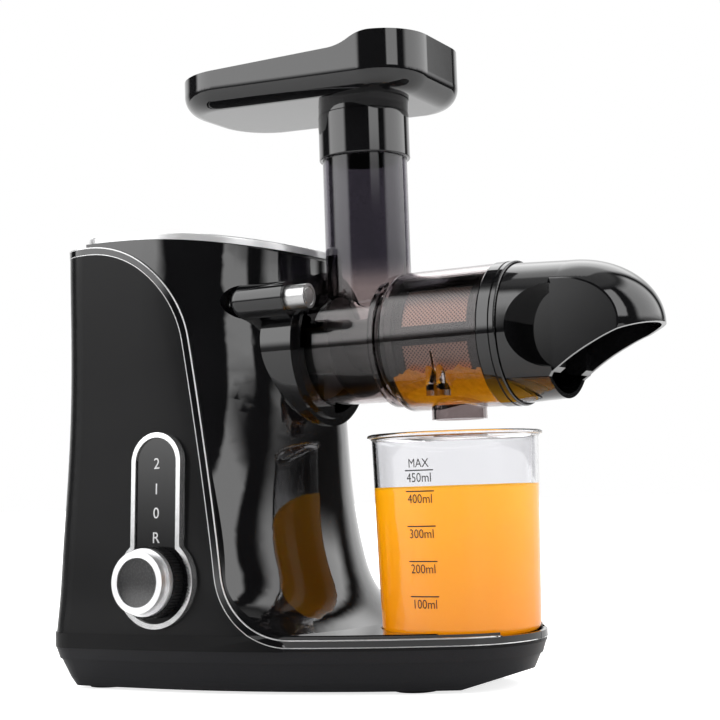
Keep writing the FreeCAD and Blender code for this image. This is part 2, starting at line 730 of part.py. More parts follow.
def gear_train():
    parts = {}
    pinion1, wheel1 = mesh_pair(STAGES[0], "motor", "first", 2.5, 3.06)
    pinion2, wheel2 = mesh_pair(STAGES[1], "first", "second", 3.06, 4.06)
    pinion3, wheel3 = mesh_pair(STAGES[2], "second", "output", 4.06, 7.0)
    parts["motor_pinion"] = pinion1
    hub = ring_x(4.6, 3.06, -140.5, -138.0, *AXES["first"])
    parts["first_gear"] = fuse([wheel1.cut(web_holes(3.2, 11.0, "first")), hub, pinion2])
    hub = ring_x(6.4, 4.06, -130.5, -128.0, *AXES["second"])
    parts["second_gear"] = fuse([wheel2.cut(web_holes(4.2, 15.5, "second")), hub, pinion3])
    parts["output_gear"] = wheel3.cut(web_holes(6.0, 21.0, "output"))
    parts["gear_axles"] = Part.makeCompound([
        cyl_x(3.0, CASE_X[0] + 1.0, -121.0, *AXES["first"]),
        cyl_x(4.0, CASE_X[0] + 1.0, CASE_X[1] - 1.0, *AXES["second"]),
    ])
    return parts


def gearbox():
    x0, x1 = CASE_X
    y0, y1, z0, z1 = -41.0, 43.0, 90.0, 217.0
    outer = box(x0, x1 - 3.5, y0, y1, z0, z1)
    vertical = [e for e in outer.Edges if abs(e.tangentAt(e.FirstParameter).x) > 0.9]
    outer = outer.makeFillet(12.0, vertical)
    inner = box(x0 + 3.0, x1, y0 + 3, y1 - 3, z0 + 3, z1 - 3)
    vertical = [e for e in inner.Edges if abs(e.tangentAt(e.FirstParameter).x) > 0.9]
    inner = inner.makeFillet(9.0, vertical)
    case = outer.cut(inner)
    pillar1 = ring_x(6.0, 3.0, x0 + 2.9, x0 + 4.2, *AXES["first"])
    pillar2 = ring_x(7.0, 4.0, x0 + 2.9, x0 + 12.4, *AXES["second"])
    case = case.fuse([pillar1, pillar2])
    case = case.cut([
        cyl_x(8.2, x0 - 1, x0 + 4, *AXES["motor"]),
        cyl_x(3.0, x0 + 0.9, x0 + 5, *AXES["first"]),
        cyl_x(4.0, x0 + 0.9, x0 + 13, *AXES["second"]),
        cyl_x(9.0, x0 + 1.0, x0 + 5),
    ])
    cover = box(x1 - 3.4, x1, y0, y1, z0, z1)
    vertical = [e for e in cover.Edges if abs(e.tangentAt(e.FirstParameter).x) > 0.9]
    cover = cover.makeFillet(12.0, vertical)
    for y, z in ((-28, 212 - 40), (28, 150), (28, 207)):
        cover = cover.fuse(cyl_x(5.0, x1 - 1, -104.1, y, z))
    cover = cover.cut([cyl_x(15.0, x1 - 5, x1 + 1), cyl_x(4.0, x1 - 5, x1 - 0.9, *AXES["second"])])
    cover = cover.fuse(ring_x(18.0, 15.0, x1 - 3.4, x1 + 2.0))
    screws = []
    for y, z in ((-34, 97), (36, 97), (-34, 210), (36, 210), (-34, 150), (36, 165)):
        screws.append(cyl_x(3.2, x1 + 0.05, x1 + 2.2, y, z))
    return case.removeSplitter(), cover.removeSplitter(), Part.makeCompound(screws)


def drive_line():
    shaft = cyl_x(7.0, -139.0 + 9.5, -93.0).fuse(cyl_x(5.0, -149.9, -129.4))
    shaft = shaft.fuse(polygon_x(6, 11.8, -93.0, -78.0))
    return shaft.removeSplitter()


def bearings():
    front = ring_x(15.0, 7.02, CASE_X[1] - 3.4, CASE_X[1] + 3.0)
    rear = ring_x(9.0, 5.02, CASE_X[0] + 1.1, CASE_X[0] + 5.0)
    return front, rear


def motor():
    y, z = AXES["motor"]
    x0, x1 = MOTOR_X
    can = cyl_x(MOTOR_R, x0 + 4, x1, y, z).cut(cyl_x(MOTOR_R - 1.6, x0, x1 - 1.6, y, z))
    can = can.cut(cyl_x(5.2, x1 - 3, x1 + 1, y, z))
    for i in range(6):
        a = math.tau * (i + 0.5) / 6
        can = can.cut(cyl_x(4.0, x1 - 3, x1 + 1, y + 18 * math.cos(a), z + 18 * math.sin(a)))
    end = cyl_x(MOTOR_R, x0 + 1, x0 + 3.9, y, z).fuse(cyl_x(8.0, x0 - 1.5, x0 + 2, y, z))
    end = end.cut(cyl_x(2.56, x0 + 0.5, x0 + 5, y, z)).removeSplitter()
    arc = ring_x(MOTOR_R - 1.7, MOTOR_R - 6.5, x0 + 8, x1 - 8, y, z)
    magnets = [arc.cut(box(x0, x1, -40, 40, low, low + 52)) for low in (z - 40, z - 12)]
    slots = []
    for i in range(12):
        a = math.tau * i / 12
        slot = box(x0, x1, 9.0, 25.0, -1.2, 1.2)
        slot.rotate(V(0, 0, 0), V(1, 0, 0), math.degrees(a))
        slot.translate(V(0, y, z))
        slots.append(slot)
    core = ring_x(MOTOR_R - 7.2, 2.5, x0 + 14, x1 - 8, y, z).cut(slots)
    commutator = ring_x(8.5, 2.5, x0 + 6, x0 + 13, y, z)
    shaft = cyl_x(2.5, x0 + 0.6, -139.0, y, z)
    bush = ring_x(5.1, 2.55, x1 - 1.6, x1 + 3.0, y, z)
    return {
        "motor_can": can,
        "motor_end_cap": end,
        "motor_magnets": Part.makeCompound(magnets),
        "motor_armature": core,
        "motor_commutator": commutator,
        "motor_shaft": shaft,
        "motor_bush": bush,
    }


def circuit_board():
    top = BOARD_Z + 1.6
    board = box(-192, -132, -52, 4, BOARD_Z, top)
    capacitors = [cyl_z(6.0, top, 43, x, -40) for x in (-181, -166)]
    blocks = [box(-156, -140, -42, -26, top, 37), box(-188, -176, -20, -4, top, 35),
              box(-166, -140, -14, -4, top, 31)]
    return board.fuse(capacitors + blocks).removeSplitter()


def cable_gland():
    y, z = GLAND
    sleeve = cyl_x(7.0, BACK_X, -200.0, y, z).fuse(cyl_x(9.0, -207.0, -204.5, y, z))
    return sleeve.cut(cyl_x(3.4, -220, -195, y, z)).removeSplitter()


# Drum: juice housing, strainer, auger

def lug_ring(r, x0, x1):
    lugs = []
    for i in range(3):
        lugs.append(sector_x(r, x0, x1, 90 + 120 * i, 26).cut(cyl_x(NECK_BORE + 0.5, x0 - 1, x1 + 1)))
    return lugs


def juice_housing():
    neck = cyl_x(NECK_R, NECK_BACK, SHOULDER_X[1])
    flange = cyl_x(NECK_R + 3.2, -31.5, -28.5)
    drum = cyl_x(DRUM_R, SHOULDER_X[0], DRUM_FRONT)
    edge = [e for e in drum.Edges if abs(e.CenterOfMass.x - SHOULDER_X[0]) < 0.1]
    drum = drum.makeFillet(2.0, edge).cut(ring_x(DRUM_R + 1, DRUM_LIP_R, RING_X[0] - 0.2, DRUM_FRONT + 1))
    tube = cyl_z(TUBE_R, AUGER_Z, TUBE_TOP, TUBE_X, 0)
    spout = cyl_z(SPOUT_R, SPOUT_Z, AUGER_Z - 20, SPOUT_X, 0)
    lugs = [cyl_z(2.4, 147.5, 166.0, x, -31.0) for x in (2.7, 8.6)]
    bar = [box(1.0, 10.4, -31.0, -24.0, 147.5, 162.0)]
    outside = fuse([neck, flange, drum, tube, spout] + lug_ring(LUG_R, -84.0, -78.0) + lugs + bar)
    bores = [
        cyl_x(NECK_BORE, NECK_BACK + 3.0, SHOULDER_X[1] + 1),
        cyl_x(DRUM_BORE, SHOULDER_X[1], DRUM_FRONT + 1),
        cyl_x(10.2, NECK_BACK - 1, -60),
        cyl_z(TUBE_BORE, AUGER_Z, TUBE_TOP + 1, TUBE_X, 0),
        cyl_z(SPOUT_R - 2.0, SPOUT_Z - 1, AUGER_Z, SPOUT_X, 0),
        box(4.9, 6.4, -36, -28, 140, 170),
    ]
    return outside.cut(bores)


def tube_collar():
    collar = ring_z(COLLAR_R, TUBE_R + 0.05, COLLAR_Z[0], COLLAR_Z[1], TUBE_X, 0)
    edges = [e for e in collar.Edges if abs(e.CenterOfMass.z - COLLAR_Z[0]) < 0.1 and e.Length > 150]
    return collar.makeFillet(0.8, edges)


def strainer_frame():
    rear = ring_x(DRUM_BORE - 0.3, NECK_BORE - 0.1, -20.8, -17.0)
    front = ring_x(DRUM_BORE - 0.3, NECK_BORE - 0.1, 28.0, 33.0)
    sleeve = ring_x(31.2, 30.2, -17.0, 28.0)
    windows = []
    for i in range(6):
        windows.append(sector_x(33.0, -13.0, 24.0, 30 + 60 * i, 42))
    ribs = []
    for i in range(6):
        rib = box(-17.0, 28.0, 31.0, DRUM_BORE - 0.4, -1.2, 1.2)
        rib.rotate(V(0, 0, 0), V(1, 0, 0), 60.0 * i)
        rib.translate(V(0, 0, AUGER_Z))
        ribs.append(rib)
    return fuse([rear, front, sleeve.cut(windows)] + ribs)


def strainer_mesh():
    return ring_x(30.1, 29.5, -16.9, 27.9)


def auger():
    """Tapered root with one long flight, and a front pin that runs in the nose."""
    front = 29.0
    root = cyl_x(13.0, -89.0, -71.0)
    taper = Part.makeCone(13.0, 21.0, front + 71.0, V(-71.0, 0, AUGER_Z), V(1, 0, 0))
    hub = cyl_x(9.7, -91.4, -88.0)
    pin = cyl_x(6.0, front - 1.0, 50.0)
    pitch = 27.0
    turns = 3.85
    helix = Part.makeHelix(pitch, pitch * turns, 20.0)
    helix.rotate(V(0, 0, 0), V(0, 1, 0), 90)
    helix.translate(V(-79.0, 0, AUGER_Z))
    start = V(-79.0, 0, AUGER_Z - 20.0)
    profile = Part.makePolygon([start + V(-2.6, 0, 9.0), start + V(-1.0, 0, -7.6), start + V(1.0, 0, -7.6),
                                start + V(2.6, 0, 9.0), start + V(-2.6, 0, 9.0)])
    flight = Part.Wire(helix).makePipeShell([Part.Wire(profile)], True, True)
    body = fuse([root, taper, hub, pin])
    screw = body.fuse(flight)
    trim = cyl_x(27.8, -87.5, front).fuse([cyl_x(9.7, -92, -87), cyl_x(6.0, front - 1, 50)])
    screw = screw.common(trim)
    screw = screw.cut(polygon_x(6, 12.0, -93, -77.5))
    return max(screw.Solids, key=lambda s: s.Volume)


def auger_seal():
    return ring_x(14.0, 9.75, -89.4, -88.9).fuse(ring_x(10.1, 9.75, -91.5, -89.4)).removeSplitter()


def shaft_seal():
    return ring_x(12.1, 7.05, -100.9, -95.0)


# Nose

def lock_ring():
    """A thin clamping ring: two bands with a groove between, and a lip over the drum's end."""
    ring = cyl_x(RING_R, *RING_X)
    rims = [e for e in ring.Edges if e.Length > 200]
    ring = ring.makeFillet(0.8, rims).cut(cyl_x(DRUM_LIP_R + 0.3, RING_X[0] - 1, DRUM_FRONT + 0.4))
    ring = ring.cut(cyl_x(DRUM_BORE + 0.1, RING_X[0], RING_X[1] + 1))
    return ring.cut(ring_x(RING_R + 1, RING_R - 0.8, 37.8, 38.8))


def nose_form(t):
    """Outer form of the nose, drawn in by t: a slight cone that closes in a quarter ellipse."""
    shoulder = NOSE_SHOULDER
    tip = NOSE_TIP - t
    brow = NOSE_BROW_R - t
    back_r = NOSE_BACK_R - t
    ellipse = Part.Ellipse(V(shoulder, 0, 0), tip - shoulder, brow)
    arc = Part.ArcOfEllipse(ellipse, 0.0, math.pi / 2.0).toShape()
    edges = [line(V(NOSE_BACK, 0, 0), V(tip, 0, 0)), arc, line(V(shoulder, brow, 0), V(NOSE_BACK, back_r, 0)),
             line(V(NOSE_BACK, back_r, 0), V(NOSE_BACK, 0, 0))]
    face = Part.Face(Part.Wire(Part.__sortEdges__(edges)))
    solid = face.revolve(V(0, 0, 0), V(1, 0, 0), 360)
    solid.translate(V(0, 0, AUGER_Z))
    return solid


def both_sides(shape):
    return [shape, shape.mirror(V(0, 0, 0), V(0, 1, 0))]


def cheeks(t):
    """What is cut away beside the flat cheeks, drawn in by t."""
    return both_sides(box(GRIP_X - 0.01, 130.0, CHEEK_Y - t, 60.0, 100, 260))


def pockets(t):
    """The D-shaped finger pockets, grown by t."""
    disc = cyl_y(GRIP_R + t, GRIP_Y - t, 60.0, GRIP_X, GRIP_Z)
    return both_sides(disc.common(box(0, GRIP_X + t, 0, 60, 100, 260)))


def nose():
    outer = nose_form(0.0).cut(cheeks(0.0))
    brow = [e for e in outer.Edges if abs(abs(e.CenterOfMass.y) - CHEEK_Y) < 0.01 and e.Length > 60]
    outer = outer.makeFillet(1.6, brow).cut(pockets(0.0))
    floor = NOSE_BACK + 2.2
    inner = nose_form(NOSE_WALL).common(box(floor, 130, -60, 60, 100, 260))
    inner = inner.cut(cheeks(NOSE_WALL)).cut(pockets(NOSE_WALL))
    wall = outer.cut(inner).cut(mouth_cut())
    wall = max(wall.Solids, key=lambda s: s.Volume)
    spigot = ring_x(DRUM_BORE - 0.35, 30.6, 33.4, NOSE_BACK + 0.5)
    bush = ring_x(9.6, 6.06, 36.0, floor)
    ribs = []
    ports = []
    for i in range(3):
        rib = box(36.0, NOSE_BACK + 1.0, 9.0, 32.0, -1.5, 1.5)
        rib.rotate(V(0, 0, 0), V(1, 0, 0), 90.0 + 120.0 * i)
        rib.translate(V(0, 0, AUGER_Z))
        ribs.append(rib)
        ports.append(sector_x(29.5, NOSE_BACK - 1, floor + 0.1, 150 + 120 * i, 96).cut(cyl_x(11.0, 30, 60)))
    wall = wall.cut([cyl_x(6.06, 30, 51.0)] + ports)
    return fuse([wall, spigot, bush] + ribs)


def mouth_cut():
    """Side view of the mouth: below the hood's edge and in front of the upright lip."""
    y = -60.0
    tip = V(117.0, y, 178.6)
    brow = V(88.0, y, 169.4)
    jaw = V(66.8, y, 156.5)
    lip = V(64.0, y, 153.8)
    edges = [
        arc3(tip, V(101.5, y, 175.0), brow),
        arc3(brow, V(76.5, y, 163.2), jaw),
        line(jaw, lip),
        line(lip, V(64.0, y, 120.0)),
        line(V(64.0, y, 120.0), V(130.0, y, 120.0)),
        line(V(130.0, y, 120.0), V(130.0, y, 178.6)),
        line(V(130.0, y, 178.6), tip),
    ]
    return Part.Face(Part.Wire(edges)).extrude(V(0, 120, 0))


def drum_gasket():
    return ring_x(DRUM_BORE - 0.05, 32.4, 33.05, 33.35)


# Hopper tray and cup

def tray_under(lift, x0=-200.0, x1=60.0):
    """Half space below the sloping floor of the tray."""
    z0 = TRAY_FLOOR + lift - TRAY_SLOPE * x0
    z1 = TRAY_FLOOR + lift - TRAY_SLOPE * x1
    return prism_xz([(x0, z0), (x1, z1), (x1, 250), (x0, 250)], -80, 80)


def tray_over():
    """Half space above the rim: level, then a smooth rise to the hood over the tube."""
    y = -80.0
    xa, xb = -44.0, -20.0
    xm = (xa + xb) / 2.0
    zm = (TRAY_TOP + TRAY_HOOD) / 2.0
    edges = [
        line(V(-200, y, TRAY_TOP), V(xa, y, TRAY_TOP)),
        arc3(V(xa, y, TRAY_TOP), V((xa + xm) / 2.0, y, TRAY_TOP + 0.8), V(xm, y, zm)),
        arc3(V(xm, y, zm), V((xb + xm) / 2.0, y, TRAY_HOOD - 0.8), V(xb, y, TRAY_HOOD)),
        line(V(xb, y, TRAY_HOOD), V(60, y, TRAY_HOOD)),
        line(V(60, y, TRAY_HOOD), V(60, y, 400)),
        line(V(60, y, 400), V(-200, y, 400)),
        line(V(-200, y, 400), V(-200, y, TRAY_TOP)),
    ]
    return Part.Face(Part.Wire(edges)).extrude(V(0, 160, 0))


def tray_block(t, fillet):
    plan = rounded_plan(TRAY_X[0], TRAY_X[1], TRAY_HALF, 34.0, 28.0, 290.0, t)
    block = Part.Face(plan).extrude(V(0, 0, 70)).cut(tray_under(t))
    low = [e for e in block.Edges if e.CenterOfMass.z < 330 and abs(e.tangentAt(e.FirstParameter).z) < 0.2
           and e.BoundBox.ZMax < 335]
    return block.makeFillet(fillet, low)


def hopper_tray():
    outer = tray_block(0.0, 11.0)
    inner = tray_block(TRAY_WALL, 8.6)
    tray = outer.cut(inner)
    over = tray_over()
    tray = tray.cut(over)
    foot = cyl_z(24.5, 304.3, 314.0, TUBE_X, 0).fuse(cyl_z(TUBE_R - 0.35, TUBE_TOP + 0.3, 305, TUBE_X, 0))
    foot = foot.cut(tray_block(TRAY_WALL, 8.6))
    tray = tray.fuse(foot).removeSplitter()
    return tray.cut(cyl_z(TUBE_BORE + 0.2, 290, 330, TUBE_X, 0))


def juice_cup():
    foot = CUP_FOOT_R
    rim = CUP_RIM_R
    top = CUP_TOP
    z0 = SEAT_Z
    w = CUP_WALL
    wall_top = rim - 2.2
    edges = [
        line(V(0, 0, z0), V(foot - 4.0, 0, z0)),
        arc3(V(foot - 4.0, 0, z0), V(foot - 1.17, 0, z0 + 1.17), V(foot, 0, z0 + 4.0)),
        line(V(foot, 0, z0 + 4.0), V(wall_top, 0, top - 3.4)),
        arc3(V(wall_top, 0, top - 3.4), V(wall_top + 0.7, 0, top - 2.5), V(rim, 0, top - 1.8)),
        arc3(V(rim, 0, top - 1.8), V(rim - 0.3, 0, top - 0.4), V(rim - 1.2, 0, top)),
        line(V(rim - 1.2, 0, top), V(wall_top - w + 0.8, 0, top)),
        line(V(wall_top - w + 0.8, 0, top), V(wall_top - w, 0, top - 2.4)),
        line(V(wall_top - w, 0, top - 2.4), V(foot - w, 0, z0 + 6.2)),
        arc3(V(foot - w, 0, z0 + 6.2), V(foot - w - 1.2, 0, z0 + 3.3), V(foot - w - 4.0, 0, z0 + 2.2)),
        line(V(foot - w - 4.0, 0, z0 + 2.2), V(0, 0, z0 + 2.2)),
        line(V(0, 0, z0 + 2.2), V(0, 0, z0)),
    ]
    return Part.Face(Part.Wire(edges)).revolve(V(0, 0, 0), V(0, 0, 1), 360)


def save(name, shape):
    moved = shape.copy()
    moved.translate(SHIFT)
    moved.exportStep("parts/%s.step" % name)


def main():
    os.makedirs("parts", exist_ok=True)
    near, far = side_shells()
    near_trim, far_trim = trim_strips()
    switch_body, switch_shaft = switch_parts()
    case, cover, cover_screws = gearbox()
    front_bearing, rear_bearing = bearings()
    nodes = {
        "base_pan": base_pan(),
        "rubber_feet": rubber_feet(),
        "base_screws": base_screws(),
        "front_shell": near,
        "rear_shell": far,
        "front_trim": near_trim,
        "rear_trim": far_trim,
        "core_housing": core_housing(),
        "top_trim_ring": top_trim_ring(),
        "top_cover": top_cover(),
        "control_bezel": control_bezel(),
        "control_plate": control_plate(),
        "knob_skirt": knob_skirt(),
        "knob_ring": knob_ring(),
        "knob_cap": knob_cap(),
        "switch_body": switch_body,
        "switch_shaft": switch_shaft,
        "socket_ring": socket_ring(),
        "button_housing": button_housing(),
        "release_button": release_button(),
        "lock_pin": lock_pin(),
        "button_spring": button_spring(),
        "gearbox_case": case,
        "gearbox_cover": cover,
        "gearbox_screws": cover_screws,
        "output_shaft": drive_line(),
        "front_bearing": front_bearing,
        "rear_bearing": rear_bearing,
        "circuit_board": circuit_board(),
        "cable_gland": cable_gland(),
        "juice_housing": juice_housing(),
        "tube_collar": tube_collar(),
        "strainer_frame": strainer_frame(),
        "strainer_mesh": strainer_mesh(),
        "drum_gasket": drum_gasket(),
        "auger": auger(),
        "auger_seal": auger_seal(),
        "shaft_seal": shaft_seal(),
        "lock_ring": lock_ring(),
        "nose": nose(),
        "hopper_tray": hopper_tray(),
        "juice_cup": juice_cup(),
    }
    nodes.update(gear_train())
    nodes.update(motor())
    for name, shape in nodes.items():
        save(name, shape)


main()
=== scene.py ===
import math

import bmesh
import bpy
from mathutils import Matrix, Vector
from mathutils.bvhtree import BVHTree


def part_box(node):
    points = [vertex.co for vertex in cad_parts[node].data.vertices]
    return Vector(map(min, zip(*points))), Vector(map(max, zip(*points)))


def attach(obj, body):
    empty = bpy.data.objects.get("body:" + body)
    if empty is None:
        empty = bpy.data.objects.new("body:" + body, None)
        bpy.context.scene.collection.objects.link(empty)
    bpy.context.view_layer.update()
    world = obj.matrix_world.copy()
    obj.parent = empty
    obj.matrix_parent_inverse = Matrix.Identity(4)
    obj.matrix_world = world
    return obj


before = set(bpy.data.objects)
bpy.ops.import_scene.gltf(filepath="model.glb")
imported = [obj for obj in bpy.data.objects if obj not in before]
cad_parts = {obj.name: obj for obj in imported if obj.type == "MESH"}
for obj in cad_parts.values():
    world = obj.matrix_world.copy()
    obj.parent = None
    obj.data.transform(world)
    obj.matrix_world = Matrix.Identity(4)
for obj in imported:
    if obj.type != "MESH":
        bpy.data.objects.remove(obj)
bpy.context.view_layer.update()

MM = 0.001

# Places are in millimetres from the point on the table under the cup's axis
cup_low, cup_high = (Vector(c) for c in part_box("juice_cup"))
CUP_AXIS = (cup_low + cup_high) / 2.0
AUGER_Z = 178.5
CUP_FOOT_Z = cup_low.z / MM
CUP_TOP_Z = cup_high.z / MM
CUP_FOOT_R = 41.0
CUP_WALL_R = 43.4
JUICE_Z = 101.5
ML_STEP = 17.3           # from one printed line of the scale to the next
PANEL = Vector((-138.5, -74.6, 57.3))
PANEL_TILT = math.radians(3.4)
DRUM_BORE = 34.4
FILM_INNER_R = 31.6      # top of the juice film in the drum
FILM_START_X = -19.5
FILM_LENGTH = 52.0
# strength of the painted glow that the juice in the cup and the film in the drum give off
PAINTED_JUICE_GLOW = 0.5
TUBE_FOOT = (0.213, 0.224)   # heights in metres where the drum's tint gives way to the tube's


def at(x, y, z):
    """A place in millimetres from the cup's axis, as metres in the frame."""
    return Vector((CUP_AXIS.x + x * MM, CUP_AXIS.y + y * MM, z * MM))


# Materials

class Graph:
    """A node tree under construction, with short calls for sums and ramps."""

    def __init__(self, tree):
        self.tree = tree
        self.coords = tree.nodes.new("ShaderNodeTexCoord")

    def link(self, source, target):
        self.tree.links.new(source, target)

    def math(self, operation, a, b=None, c=None):
        node = self.tree.nodes.new("ShaderNodeMath")
        node.operation = operation
        for socket, value in zip(node.inputs, (a, b, c)):
            if value is None:
                continue
            if isinstance(value, (int, float)):
                socket.default_value = value
            else:
                self.link(value, socket)
        return node.outputs[0]

    def ramp(self, source, low, high, start=0.0, end=1.0, soft=False):
        """Numbers from low to high as the source goes from start to end."""
        node = self.tree.nodes.new("ShaderNodeMapRange")
        if soft:
            node.interpolation_type = "SMOOTHSTEP"
        node.inputs["From Min"].default_value = start
        node.inputs["From Max"].default_value = end
        node.inputs["To Min"].default_value = low
        node.inputs["To Max"].default_value = high
        self.link(source, node.inputs["Value"])
        return node.outputs[0]

    def window(self, source, start, end, edge):
        """1 between start and end, fading to 0 over edge outside them."""
        rise = self.ramp(source, 0.0, 1.0, start - edge, start + edge, True)
        fall = self.ramp(source, 1.0, 0.0, end - edge, end + edge, True)
        return self.math("MULTIPLY", rise, fall)


class Nodes(Graph):
    """A material under construction: short calls for the nodes that the looks use."""

    def __init__(self, name):
        self.material = bpy.data.materials.new(name)
        self.material.use_nodes = True
        super().__init__(self.material.node_tree)
        self.shader = self.tree.nodes["Principled BSDF"]

    def set(self, **values):
        for key, value in values.items():
            self.shader.inputs[key.replace("_", " ")].default_value = value
        return self

    def noise(self, scale, detail=3.0, roughness=0.5, stretch=(1, 1, 1)):
        mapping = self.tree.nodes.new("ShaderNodeMapping")
        mapping.inputs["Scale"].default_value = stretch
        self.link(self.coords.outputs["Object"], mapping.inputs["Vector"])
        node = self.tree.nodes.new("ShaderNodeTexNoise")
        node.inputs["Scale"].default_value = scale
        node.inputs["Detail"].default_value = detail
        node.inputs["Roughness"].default_value = roughness
        self.link(mapping.outputs[0], node.inputs["Vector"])
        return node.outputs["Fac"]

    def blend(self, factor, one, two):
        """Colour one where the factor is 0, and colour two where it is 1."""
        node = self.tree.nodes.new("ShaderNodeMix")
        node.data_type = "RGBA"
        colours = [s for s in node.inputs if s.type == "RGBA"]
        self.link(factor, node.inputs[0])
        for socket, value in zip(colours, (one, two)):
            if isinstance(value, (tuple, list)):
                socket.default_value = (*value, 1.0)
            else:
                self.link(value, socket)
        return [s for s in node.outputs if s.type == "RGBA"][0]

    def colour(self, source):
        self.link(source, self.shader.inputs["Base Color"])
        return self

    def rough(self, source):
        self.link(source, self.shader.inputs["Roughness"])
        return self

    def bump(self, height, distance, strength=1.0):
        node = self.tree.nodes.new("ShaderNodeBump")
        node.inputs["Distance"].default_value = distance
        node.inputs["Strength"].default_value = strength
        self.link(height, node.inputs["Height"])
        self.link(node.outputs[0], self.shader.inputs["Normal"])
        return self

    def place(self):
        """X, Y, Z of the surface point, in metres in the frame."""
        node = self.tree.nodes.new("ShaderNodeSeparateXYZ")
        self.link(self.coords.outputs["Object"], node.inputs[0])
        return node.outputs[0], node.outputs[1], node.outputs[2]


def satin_black():
    n = Nodes("satin_black")
    tone = n.ramp(n.noise(14.0, 2.0), 0.0, 1.0, 0.35, 0.65)
    n.colour(n.blend(tone, (0.0075, 0.0075, 0.008), (0.0105, 0.0105, 0.011)))
    n.rough(n.ramp(n.noise(900.0, 2.0), 0.22, 0.28))
    n.bump(n.noise(2200.0, 2.0), 0.00001, 0.25)
    return n.set(Specular_IOR_Level=0.13).material


def gloss_black(name="gloss_black", tint=(0.004, 0.004, 0.0045)):
    n = Nodes(name)
    smudge = n.ramp(n.noise(22.0, 4.0, 0.6), 0.0, 1.0, 0.4, 0.75)
    n.colour(n.blend(smudge, tint, tuple(1.5 * c for c in tint)))
    n.rough(n.ramp(smudge, 0.035, 0.075))
    n.bump(n.noise(60.0, 1.0), 0.00002, 0.5)
    return n.set(Specular_IOR_Level=0.55, Coat_Weight=0.3, Coat_Roughness=0.02).material


def pan_grey():
    n = Nodes("pan_grey")
    grain = n.noise(1500.0, 2.0)
    n.colour(n.blend(grain, (0.009, 0.009, 0.0105), (0.018, 0.018, 0.021)))
    n.rough(n.ramp(grain, 0.30, 0.42))
    n.bump(grain, 0.00005, 0.5)
    return n.set(Specular_IOR_Level=0.25).material


def chrome(name="chrome_bright", tone=0.9, rough=0.16, metal=0.9):
    n = Nodes(name)
    haze = n.noise(300.0, 3.0)
    n.colour(n.blend(haze, (tone * 0.94,) * 3, (tone, tone, tone * 1.01)))
    n.rough(n.ramp(haze, rough * 0.8, rough * 1.3))
    return n.set(Metallic=metal).material


def turned_silver():
    """A turned face: fine rings about the knob's axis."""
    n = Nodes("turned_silver")
    x, y, z = n.place()
    centre = at(*PANEL)
    dx = n.math("SUBTRACT", x, centre.x)
    dz = n.math("SUBTRACT", z, centre.z)
    radius = n.math("SQRT", n.math("ADD", n.math("MULTIPLY", dx, dx), n.math("MULTIPLY", dz, dz)))
    rings = n.math("SINE", n.math("MULTIPLY", radius, 2.0 * math.pi / 0.00045))
    tone = n.ramp(rings, 0.0, 1.0, -1.0, 1.0)
    n.colour(n.blend(tone, (0.80, 0.80, 0.81), (0.93, 0.93, 0.94)))
    n.rough(n.ramp(n.noise(900.0, 2.0), 0.26, 0.36))
    n.bump(rings, 0.00001, 0.6)
    return n.set(Metallic=0.85).material


def rubber(name="rubber_black", tint=(0.012, 0.012, 0.012)):
    n = Nodes(name)
    grain = n.noise(1800.0, 3.0)
    n.colour(n.blend(grain, tint, tuple(1.7 * c for c in tint)))
    n.rough(n.ramp(grain, 0.6, 0.8))
    n.bump(grain, 0.00008, 0.5)
    return n.material


def clear_cup():
    n = Nodes("clear_cup")
    haze = n.noise(40.0, 3.0)
    n.colour(n.blend(haze, (0.91, 0.91, 0.93), (0.94, 0.94, 0.955)))
    n.rough(n.ramp(haze, 0.005, 0.02, 0.4, 0.8))
    return n.set(Transmission_Weight=1.0, IOR=1.46, Specular_IOR_Level=0.5).material


def smoked(name="smoked_clear", tint=(0.16, 0.15, 0.175), warm=(0.44, 0.39, 0.39)):
    """Smoky plastic: dark and neutral up the feed tube, lighter and warmer down in the drum."""
    n = Nodes(name)
    haze = n.noise(30.0, 3.0)
    x, y, z = n.place()
    n.colour(n.blend(n.ramp(z, 0.0, 1.0, *TUBE_FOOT), warm, tint))
    n.rough(n.ramp(haze, 0.01, 0.04, 0.4, 0.8))
    return n.set(Transmission_Weight=1.0, IOR=1.47, Specular_IOR_Level=0.5).material


def juice():
    n = Nodes("orange_juice")
    pulp = n.noise(420.0, 4.0, 0.6)
    drift = n.noise(28.0, 2.0)
    x, y, z = n.place()
    depth = n.ramp(z, 0.0, 1.0, CUP_FOOT_Z * MM, JUICE_Z * MM)
    base = n.blend(depth, (0.80, 0.28, 0.0), (0.98, 0.46, 0.0))
    n.colour(n.blend(n.ramp(drift, 0.0, 0.35), base, (1.0, 0.5, 0.004)))
    n.rough(n.ramp(pulp, 0.25, 0.4))
    n.bump(pulp, 0.0001, 0.3)
    # painted glow: the juice gives off light in its own colour, which is darker towards the bottom of the
    # cup
    n.link(base, n.shader.inputs["Emission Color"])
    n.set(Subsurface_Weight=0.15, Subsurface_Scale=0.01, Subsurface_Radius=(1.0, 0.35, 0.05))
    return n.set(Emission_Strength=PAINTED_JUICE_GLOW).material


def amber_film():
    """Juice and pulp that lie in the bottom of the drum."""
    n = Nodes("amber_film")
    pulp = n.noise(260.0, 5.0, 0.65)
    n.colour(n.blend(n.ramp(pulp, 0.0, 1.0, 0.35, 0.65), (0.35, 0.09, 0.004), (0.86, 0.36, 0.02)))
    n.rough(n.ramp(pulp, 0.12, 0.35))
    n.bump(pulp, 0.0004, 0.5)
    # painted glow: the film gives off orange light of its own
    n.set(Emission_Color=(0.85, 0.33, 0.01, 1.0), Emission_Strength=PAINTED_JUICE_GLOW)
    return n.set(Subsurface_Weight=0.3, Subsurface_Scale=0.004, Subsurface_Radius=(1.0, 0.3, 0.05)).material


